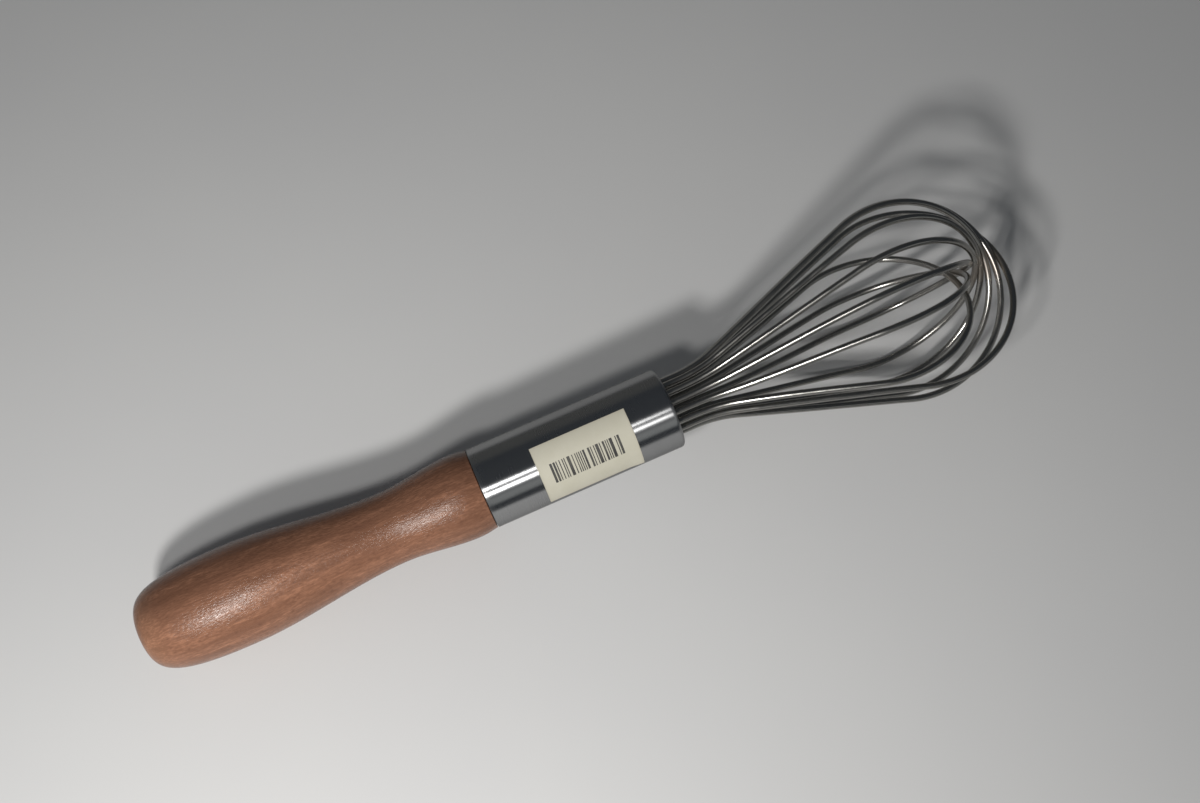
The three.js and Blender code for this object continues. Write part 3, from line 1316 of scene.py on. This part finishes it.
@dataclass
class PaperLabel(SubAssembly):
    """The sticker, wrapped part of the way round the ferrule, with one corner come unstuck."""

    slot: ClassVar[Slot] = Slot.LABEL_PAPER
    ferrule: SteelFerrule
    length: float = 30.0 * MM
    width: float = 20.0 * MM
    thickness: float = 0.15 * MM
    glue: float = 0.02 * MM
    setback: float = 17.0 * MM
    middle: float = math.radians(129.5)
    lifted_corner: float = 0.35 * MM
    lift_reach: float = 5.0 * MM
    edge_soil: float = 0.8 * MM
    length_steps: int = 60
    width_steps: int = 40

    def lift(self, along: float, across: float) -> float:
        """Returns how far the corner that has come unstuck stands off the steel."""
        reach = math.hypot(self.length - along, self.width - across)
        return self.lifted_corner * ease(reach, self.lift_reach, 0.0)

    def point(self, along: float, across: float, height: float) -> Vector:
        """Wraps a place on the flat label round the ferrule.

        Args:
            along: The distance from the label's end nearer the handle.
            across: The distance from its upper edge.
            height: The distance off the steel.

        Returns:
            The place on the whisk's axis.
        """
        radius = self.ferrule.radius + height + self.lift(along, across)
        angle = self.middle + (across - self.width / 2.0) / self.ferrule.radius
        return round_axis(self.setback + along, radius, angle)

    def soil(self, along: float, across: float) -> float:
        """Returns how soiled the paper is by its nearness to an edge."""
        inset = min(along, self.length - along, across, self.width - across)
        return 1.0 - ease(inset, 0.0, self.edge_soil)

    def sheet(self) -> MeshDraft:
        """Draws the sheet: its printed side, its glued side and the cut edge between them.

        Returns:
            The sheet's mesh.
        """
        draft = MeshDraft()
        rows, columns = self.length_steps, self.width_steps
        places = {}
        numbers = {}
        for side, height in enumerate((self.glue, self.glue + self.thickness)):
            for i in range(rows + 1):
                for j in range(columns + 1):
                    along, across = self.length * i / rows, self.width * j / columns
                    number = draft.add_point(self.point(along, across, height), self.soil(along, across))
                    numbers[side, i, j] = number
                    places[number] = (along, across)

        def cover(*corners: int) -> None:
            """Adds a face, laid flat as the label was cut."""
            draft.add_face(corners, [places[corner] for corner in corners])

        for i in range(rows):
            for j in range(columns):
                square = ((i, j), (i, j + 1), (i + 1, j + 1), (i + 1, j))
                cover(*(numbers[1, a, b] for a, b in square))
                cover(*(numbers[0, a, b] for a, b in reversed(square)))
        border = [(i, 0) for i in range(rows)] + [(rows, j) for j in range(columns)]
        border += [(i, columns) for i in range(rows, 0, -1)] + [(0, j) for j in range(columns, 0, -1)]
        for here, there in zip(border, border[1:] + border[:1]):
            cover(numbers[0, *here], numbers[1, *here], numbers[1, *there], numbers[0, *there])
        return draft

    def pieces(self) -> list[Piece]:
        """Returns the label."""
        return [Piece("cream_label", "paper_label", self.sheet())]


@dataclass(frozen=True)
class Lamp:
    """A panel of soft light that faces the whisk."""

    name: str
    place: Place
    length: float
    width: float
    power: float
    colour: Colour = (1.0, 0.985, 0.965)


@dataclass
class Studio:
    """The table, the light and the camera.

    A wall of the room comes in as the direction of sight, a unit vector, goes through the wall's span: to
    -x for the butt wall, -y for the near wall and +y for the far wall. The near wall's foot and top are
    spans to +z.
    """

    fitting: Fitting
    camera_place: Place = (-0.04558, -0.11879, 0.40624)
    camera_azimuth: float = math.radians(-23.5)
    camera_elevation: float = math.radians(70.0)
    camera_nearest: float = 0.01
    focal_pixels: float = 1351.0
    frame_pixels: float = 1200.0
    sensor: float = 36.0
    table_side: float = 4.0
    table_drop: float = 0.14 * MM
    aim: Place = (-0.02, 0.0, 0.02)
    lamps: tuple[Lamp, ...] = (
        Lamp("low_panel", (-0.245, -0.277, 0.350), length=0.060, width=0.050, power=1.68),
        Lamp("high_panel", (-0.190, -0.166, 0.390), length=0.050, width=0.040, power=0.62),
    )
    ceiling: Colour = (0.050, 0.056, 0.064)
    butt_wall: Colour = (0.4, 0.4, 0.4)
    butt_span: Span = (0.5, 0.8)
    near_wall: Colour = (0.40, 0.41, 0.405)
    near_span: Span = (0.4, 0.6)
    near_foot: Span = (0.2, 0.36)
    near_top: Span = (0.5, 0.7)
    far_wall: Colour = (0.105, 0.106, 0.103)
    far_span: Span = (0.7, 0.9)

    def build(self) -> None:
        """Builds the studio round the whisk."""
        self.lay_table()
        for lamp in self.lamps:
            self.hang(lamp)
        self.paint_room()
        self.stand_camera()

    def lay_table(self) -> None:
        """Lays the table top that the whisk rests on."""
        half = self.table_side / 2.0
        corners = ((-half, -half), (half, -half), (half, half), (-half, half))
        mesh = bpy.data.meshes.new("table_top")
        mesh.from_pydata([(x, y, -self.table_drop) for x, y in corners], [], [(0, 1, 2, 3)])
        table = bpy.data.objects.new("table_top", mesh)
        table.data.materials.append(self.fitting.material(PaleTable()))
        bpy.context.scene.collection.objects.link(table)

    def hang(self, lamp: Lamp) -> None:
        """Hangs a lamp and points it at the whisk.

        Args:
            lamp: The lamp.
        """
        data = bpy.data.lights.new(lamp.name, "AREA")
        data.shape = "RECTANGLE"
        data.size, data.size_y = lamp.length, lamp.width
        data.energy = lamp.power
        data.color = lamp.colour
        hung = bpy.data.objects.new(lamp.name, data)
        hung.location = lamp.place
        way = Vector(self.aim) - Vector(lamp.place)
        hung.rotation_euler = way.to_track_quat("-Z", "Y").to_euler()
        bpy.context.scene.collection.objects.link(hung)

    def paint_room(self) -> None:
        """Paints the room: a dark ceiling, a dim far wall, and pale walls near by and at the butt."""
        world = bpy.data.worlds.new("room")
        world.use_nodes = True
        bpy.context.scene.world = world
        sheet = NodeSheet(world.node_tree)
        sheet.tree.nodes.clear()
        x, y, z = sheet.parts(sheet.add("ShaderNodeTexCoord").outputs["Generated"])
        butt = sheet.window(sheet.math("MULTIPLY", x, -1.0), *self.butt_span)
        near = sheet.window(sheet.math("MULTIPLY", y, -1.0), *self.near_span)
        near = sheet.math("MULTIPLY", near, sheet.window(z, *self.near_foot))
        near = sheet.math("MULTIPLY", near, sheet.window(z, *self.near_top, start=1.0, end=0.0))
        far = sheet.window(y, *self.far_span)
        colour = sheet.blend(far, self.ceiling, self.far_wall)
        colour = sheet.blend(near, colour, self.near_wall)
        colour = sheet.blend(butt, colour, self.butt_wall)
        background = sheet.add("ShaderNodeBackground", colour)
        sheet.add("ShaderNodeOutputWorld", background.outputs[0])

    def stand_camera(self) -> None:
        """Stands the camera where the photograph was taken from."""
        data = bpy.data.cameras.new("camera")
        data.sensor_width = self.sensor
        data.lens = self.sensor * self.focal_pixels / self.frame_pixels
        data.clip_start = self.camera_nearest
        camera = bpy.data.objects.new("camera", data)
        level = math.cos(self.camera_elevation)
        look = Vector((
            -math.sin(self.camera_azimuth) * level,
            math.cos(self.camera_azimuth) * level,
            -math.sin(self.camera_elevation),
        ))
        camera.location = self.camera_place
        camera.rotation_euler = look.to_track_quat("-Z", "Y").to_euler()
        bpy.context.scene.collection.objects.link(camera)
        bpy.context.scene.camera = camera
        bpy.context.scene.view_settings.view_transform = "Standard"


def main() -> None:
    """Builds the studio and the whisk's pieces, and reports each piece."""
    logging.basicConfig(level=logging.INFO, format="%(name)s: %(message)s")
    ferrule = SteelFerrule()
    core = WireCore()
    handle = TurnedHandle(ferrule, core)
    fitting = Fitting(WhiskAxis.from_record(frame["record"], handle.length), Effects())
    Studio(fitting).build()
    handle.build(fitting, StainedBeech())
    ferrule.build(fitting, BrushedTube())
    core.build(fitting, CastFiller())
    WireBalloon(ferrule, core).build(fitting, DrawnWire())
    PaperLabel(ferrule).build(fitting, PrintedPaper())


if __name__ == "__main__":
    main()
